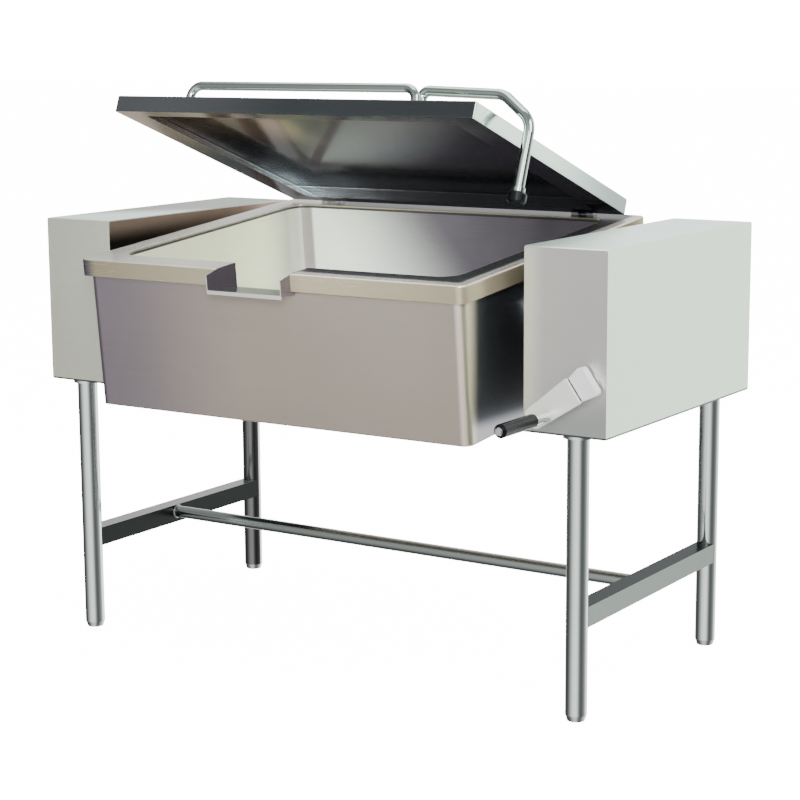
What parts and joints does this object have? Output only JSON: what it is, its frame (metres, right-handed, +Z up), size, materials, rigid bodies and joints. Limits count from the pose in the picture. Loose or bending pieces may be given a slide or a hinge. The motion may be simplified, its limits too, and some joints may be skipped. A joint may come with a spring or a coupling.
{
  "type": "tilting bratt pan",
  "caption": "Tilting rectangular bratt pan with hinged lid and pouring lip, carried on trunnions between two consoles on a tubular stand, tilted by a hand crank and worm drive.",
  "frame": {"origin": "on the floor, centre of the four foot bolt holes", "axes": "+X to the operator's right along the trunnions, +Y from the operator towards the back, +Z up"},
  "size_m": [1.344, 0.8678, 1.1915],
  "materials": {
    "stainless_panels": "satin",
    "stainless_well": "satin",
    "polished_tube": "polished",
    "machined_steel": "satin",
    "dark_steel": "matte",
    "bronze": "satin",
    "mineral_wool": "matte",
    "black_plastic": "satin",
    "grey_plastic": "matte"
  },
  "bodies": {
    "stand": {"leg_front_left": "polished_tube", "leg_front_right": "polished_tube", "leg_rear_left": "polished_tube", "leg_rear_right": "polished_tube", "feet": "machined_steel", "side_rail_left": "stainless_panels", "base_plate_left": "stainless_panels", "bearing_plate_left": "stainless_panels", "side_panel_left": "stainless_panels", "console_cover_left": "stainless_panels", "bearing_left": "dark_steel", "bearing_bolts_left": "machined_steel", "side_rail_right": "stainless_panels", "base_plate_right": "stainless_panels", "bearing_plate_right": "stainless_panels", "side_panel_right": "stainless_panels", "console_cover_right": "stainless_panels", "bearing_right": "dark_steel", "bearing_bolts_right": "machined_steel", "cross_tube": "polished_tube", "crank_bush": "bronze", "cable_gland": "grey_plastic", "terminal_box": "grey_plastic", "worm_bracket": "dark_steel", "worm_bushes": "bronze"},
    "pan": {"pan_well": "stainless_well", "pan_rim": "stainless_panels", "pan_casing": "stainless_panels", "pan_bottom_cover": "stainless_panels", "pouring_lip": "stainless_well", "pan_floor_plate": "dark_steel", "heating_elements": "dark_steel", "heater_clamps": "machined_steel", "side_insulation": "mineral_wool", "bottom_insulation": "mineral_wool", "trunnion_backing_plates": "machined_steel", "trunnion_bolts": "machined_steel", "trunnion_left": "machined_steel", "trunnion_right": "machined_steel", "worm_sector": "bronze", "sector_key": "machined_steel", "hinge_lugs": "machined_steel", "hinge_pins": "machined_steel"},
    "lid": {"hinge_straps": "machined_steel", "lid_shell": "stainless_panels", "lid_return_lip": "stainless_panels", "lid_handle": "polished_tube", "side_arm": "polished_tube", "side_arm_collar": "polished_tube", "side_arm_knob": "black_plastic"},
    "crank": {"worm_shaft": "machined_steel", "crank_hub": "stainless_panels", "crank_arm": "polished_tube", "crank_spindle": "machined_steel"},
    "grip": {"crank_ferrule": "polished_tube", "crank_grip": "black_plastic"}
  },
  "joints": [
    {"name": "pan_tilt", "type": "hinge", "parent": "stand", "child": "pan", "pos_m": [0, -0.15, 0.76], "axis": [1, 0, 0], "range_deg": [-5.5, 80]},
    {"name": "lid_open", "type": "hinge", "parent": "pan", "child": "lid", "pos_m": [0, 0.24884, 0.91418], "axis": [-1, 0, 0], "range_deg": [-25.4, 63.6]},
    {"name": "crank_turn", "type": "hinge", "parent": "stand", "child": "crank", "pos_m": [0.634, -0.15, 0.654], "axis": [0, -1, 0], "range_deg": [-237, 3441]},
    {"name": "grip_spin", "type": "hinge", "parent": "crank", "child": "grip", "pos_m": [0.56855, -0.45, 0.59342], "axis": [0, -1, 0], "continuous": true}
  ],
  "couplings": [
    {"joint": "crank_turn", "follows": "pan_tilt", "ratio": 43}
  ]
}
